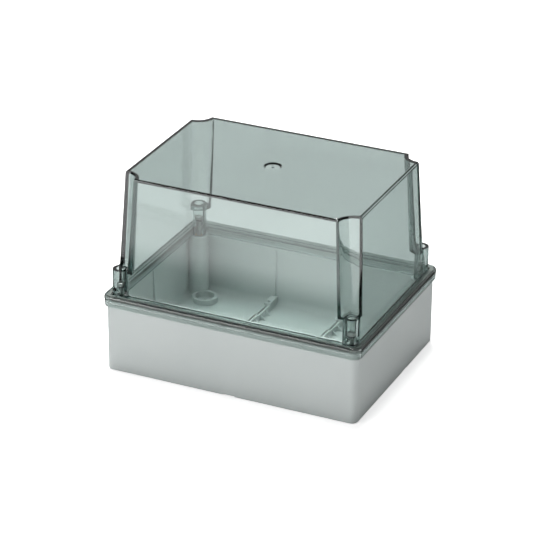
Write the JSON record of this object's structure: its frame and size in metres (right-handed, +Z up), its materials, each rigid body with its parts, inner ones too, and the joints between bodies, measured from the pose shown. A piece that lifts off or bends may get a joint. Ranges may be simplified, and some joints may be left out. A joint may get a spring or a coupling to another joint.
{
  "type": "junction box with deep clear lid",
  "caption": "Deep clear-lid plastic junction box with a grey base, a gasket and captive corner screws; the lid lifts off.",
  "frame": {"origin": "centre of the foot rim's rectangle, on the surface the box stands on", "axes": "+X along the box's length to the right, +Y to the rear long side, +Z up through the lid"},
  "size_m": [0.1988, 0.1488, 0.1484],
  "materials": {
    "base_plastic": "fine satin moulding, light grey",
    "clear_lid": "clear with a faint grey-green tint, polished",
    "seal_rubber": "soft matt foam rubber, grey",
    "ring_rubber": "smooth ring seal, black",
    "screw_steel": "turned and passivated",
    "clip_steel": "spring steel, plain",
    "insert_brass": "turned, with two knurled bands"
  },
  "bodies": {
    "base": {"base": "base_plastic", "insert_front_left": "insert_brass", "insert_front_right": "insert_brass", "insert_rear_right": "insert_brass", "insert_rear_left": "insert_brass"},
    "lid": {"lid": "clear_lid", "lid_gasket": "seal_rubber"},
    "screw_front_left": {"screw_front_left": "screw_steel", "seal_front_left": "ring_rubber", "clip_front_left": "clip_steel"},
    "screw_front_right": {"screw_front_right": "screw_steel", "seal_front_right": "ring_rubber", "clip_front_right": "clip_steel"},
    "screw_rear_right": {"screw_rear_right": "screw_steel", "seal_rear_right": "ring_rubber", "clip_rear_right": "clip_steel"},
    "screw_rear_left": {"screw_rear_left": "screw_steel", "seal_rear_left": "ring_rubber", "clip_rear_left": "clip_steel"}
  },
  "joints": [
    {"name": "lid_lift", "type": "slide", "parent": "base", "child": "lid", "axis": [0, 0, 1], "range_m": [0, 0.12]},
    {"name": "screw_turn_front_left", "type": "hinge", "parent": "lid", "child": "screw_front_left", "pos_m": [-0.0888, -0.0627, 0.0637], "axis": [0, 0, 1], "range_deg": [-180, 180]},
    {"name": "screw_turn_front_right", "type": "hinge", "parent": "lid", "child": "screw_front_right", "pos_m": [0.0888, -0.0627, 0.0637], "axis": [0, 0, 1], "range_deg": [-180, 180]},
    {"name": "screw_turn_rear_right", "type": "hinge", "parent": "lid", "child": "screw_rear_right", "pos_m": [0.0888, 0.0627, 0.0637], "axis": [0, 0, 1], "range_deg": [-180, 180]},
    {"name": "screw_turn_rear_left", "type": "hinge", "parent": "lid", "child": "screw_rear_left", "pos_m": [-0.0888, 0.0627, 0.0637], "axis": [0, 0, 1], "range_deg": [-180, 180]}
  ]
}
